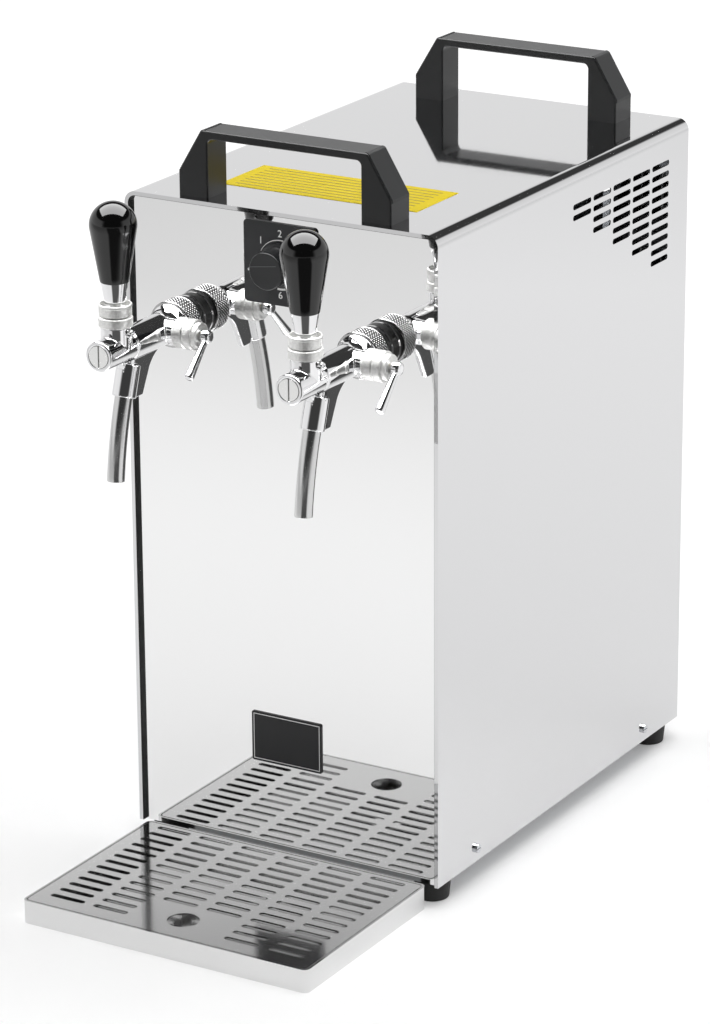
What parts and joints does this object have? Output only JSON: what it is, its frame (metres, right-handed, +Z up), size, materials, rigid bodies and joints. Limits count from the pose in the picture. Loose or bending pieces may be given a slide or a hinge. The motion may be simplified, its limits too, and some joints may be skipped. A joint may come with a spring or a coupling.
{
  "type": "two tap beer cooler with drip tray",
  "caption": "Counter-top dry beer cooler: tall stainless box with carrying grips, chromed compensator taps, a thermostat dial, side vents and a loose drip tray with a slotted grate.",
  "frame": {"origin": "centre of the footprint, cooler and drip tray together, on the surface that it stands on", "axes": "+X to the right seen from the front, +Y towards the back, +Z up"},
  "size_m": [0.2644, 0.5764, 0.5584],
  "materials": {
    "casing_steel": "fine brushed stainless sheet",
    "panel_steel": "mirror polished stainless sheet",
    "plated_steel": "galvanised sheet",
    "screw_steel": "zinc plated steel",
    "foot_rubber": "matt black rubber",
    "grip_plastic": "moulded black plastic with fine texture",
    "cap_plastic": "moulded dark grey plastic",
    "dial_plastic": "printed black plastic",
    "knob_plastic": "polished black plastic",
    "plate_black": "black anodised plate with a light border",
    "label_vinyl": "yellow vinyl",
    "tray_steel": "satin stainless sheet",
    "chrome": "polished chrome plate on brass",
    "satin_chrome": "satin chrome plate",
    "seal_rubber": "black sealing rubber",
    "brass": "turned brass",
    "aluminium": "cast aluminium",
    "foam": "rigid insulating foam",
    "line_steel": "drawn stainless tube",
    "compressor_paint": "black enamel",
    "copper": "drawn copper tube",
    "pump_plastic": "grey moulded plastic",
    "hose": "grey hose",
    "fitting_plastic": "black acetal",
    "collet_plastic": "grey acetal",
    "switch_plastic": "black switch plastic"
  },
  "bodies": {
    "cooler": {"casing": "casing_steel", "base_plate": "plated_steel", "front_panel": "panel_steel", "rear_panel": "casing_steel", "rubber_feet": "foot_rubber", "front_grip": "grip_plastic", "rear_grip": "grip_plastic", "grip_caps": "cap_plastic", "grip_screws": "screw_steel", "casing_screws": "screw_steel", "thermostat_plate": "dial_plastic", "thermostat_body": "pump_plastic", "badge_plate": "plate_black", "top_label": "label_vinyl", "lock_rings": "satin_chrome", "wall_gaskets": "seal_rubber", "shank_nuts": "brass", "tap_collars": "chrome", "tap_plugs": "chrome", "cold_block": "aluminium", "insulation_box": "foam", "beer_lines": "line_steel", "compressor": "compressor_paint", "condenser": "aluminium", "fan_motor": "pump_plastic", "fan_shroud": "plated_steel", "refrigerant_pipes": "copper", "air_pump": "pump_plastic", "air_hose": "hose", "inlet_fittings": "fitting_plastic", "cable_gland": "fitting_plastic", "switch_frame": "switch_plastic", "left_tap_shank": "chrome", "left_tap_body": "chrome", "left_tap_spout": "chrome", "left_lever_collar": "satin_chrome", "left_comp_bonnet": "satin_chrome", "right_tap_shank": "chrome", "right_tap_body": "chrome", "right_tap_spout": "chrome", "right_lever_collar": "satin_chrome", "right_comp_bonnet": "satin_chrome"},
    "dial": {"thermostat_knob": "dial_plastic", "thermostat_spindle": "screw_steel"},
    "tray": {"drip_tray": "tray_steel"},
    "grate": {"drip_grate": "tray_steel"},
    "fan": {"fan_blades": "pump_plastic"},
    "rocker": {"switch_rocker": "switch_plastic"},
    "left_handle": {"left_tap_lever": "chrome", "left_lever_knob": "knob_plastic"},
    "left_piston": {"left_tap_piston": "brass"},
    "left_flow_handle": {"left_comp_lever": "chrome"},
    "left_flow_cone": {"left_comp_cone": "brass"},
    "left_collet": {"left_inlet_collet": "collet_plastic"},
    "right_handle": {"right_tap_lever": "chrome", "right_lever_knob": "knob_plastic"},
    "right_piston": {"right_tap_piston": "brass"},
    "right_flow_handle": {"right_comp_lever": "chrome"},
    "right_flow_cone": {"right_comp_cone": "brass"},
    "right_collet": {"right_inlet_collet": "collet_plastic"}
  },
  "joints": [
    {"name": "left_handle_tilt", "type": "hinge", "parent": "cooler", "child": "left_handle", "pos_m": [-0.078, -0.2108, 0.447], "axis": [1, 0, 0], "range_deg": [-10, 16]},
    {"name": "left_piston_slide", "type": "slide", "parent": "cooler", "child": "left_piston", "axis": [0, 1, 0], "range_m": [-0.0046, 0.0073]},
    {"name": "left_flow_turn", "type": "hinge", "parent": "cooler", "child": "left_flow_handle", "pos_m": [-0.078, -0.1568, 0.4216], "axis": [1, 0, 0], "range_deg": [-45, 45]},
    {"name": "left_cone_slide", "type": "slide", "parent": "cooler", "child": "left_flow_cone", "axis": [1, 0, 0], "range_m": [-0.0015, 0.0015]},
    {"name": "left_collet_press", "type": "slide", "parent": "cooler", "child": "left_collet", "axis": [0, -1, 0], "range_m": [0, 0.0015], "stiffness_N_per_m": 500},
    {"name": "right_handle_tilt", "type": "hinge", "parent": "cooler", "child": "right_handle", "pos_m": [0.078, -0.2108, 0.447], "axis": [1, 0, 0], "range_deg": [-10, 16]},
    {"name": "right_piston_slide", "type": "slide", "parent": "cooler", "child": "right_piston", "axis": [0, 1, 0], "range_m": [-0.0046, 0.0073]},
    {"name": "right_flow_turn", "type": "hinge", "parent": "cooler", "child": "right_flow_handle", "pos_m": [0.078, -0.1568, 0.4216], "axis": [1, 0, 0], "range_deg": [-45, 45]},
    {"name": "right_cone_slide", "type": "slide", "parent": "cooler", "child": "right_flow_cone", "axis": [1, 0, 0], "range_m": [-0.0015, 0.0015]},
    {"name": "right_collet_press", "type": "slide", "parent": "cooler", "child": "right_collet", "axis": [0, -1, 0], "range_m": [0, 0.0015], "stiffness_N_per_m": 500},
    {"name": "dial_turn", "type": "hinge", "parent": "cooler", "child": "dial", "pos_m": [0, -0.1164, 0.4696], "axis": [0, 1, 0], "range_deg": [0, 270]},
    {"name": "tray_slide", "type": "slide", "parent": "cooler", "child": "tray", "axis": [0, -1, 0], "range_m": [0, 0.17]},
    {"name": "grate_lift", "type": "slide", "parent": "tray", "child": "grate", "axis": [0, 0, 1], "range_m": [0, 0.05]},
    {"name": "fan_spin", "type": "hinge", "parent": "cooler", "child": "fan", "pos_m": [0, 0.1574, 0.3855], "axis": [0, 1, 0], "continuous": true},
    {"name": "rocker_tilt", "type": "hinge", "parent": "cooler", "child": "rocker", "pos_m": [0.092, 0.2642, 0.066], "axis": [1, 0, 0], "range_deg": [0, 12]}
  ],
  "couplings": [
    {"joint": "left_piston_slide", "follows": "left_handle_tilt", "m_per_rad": 0.02606},
    {"joint": "left_cone_slide", "follows": "left_flow_turn", "m_per_rad": 0.0019},
    {"joint": "right_piston_slide", "follows": "right_handle_tilt", "m_per_rad": 0.02606},
    {"joint": "right_cone_slide", "follows": "right_flow_turn", "m_per_rad": 0.0019}
  ]
}
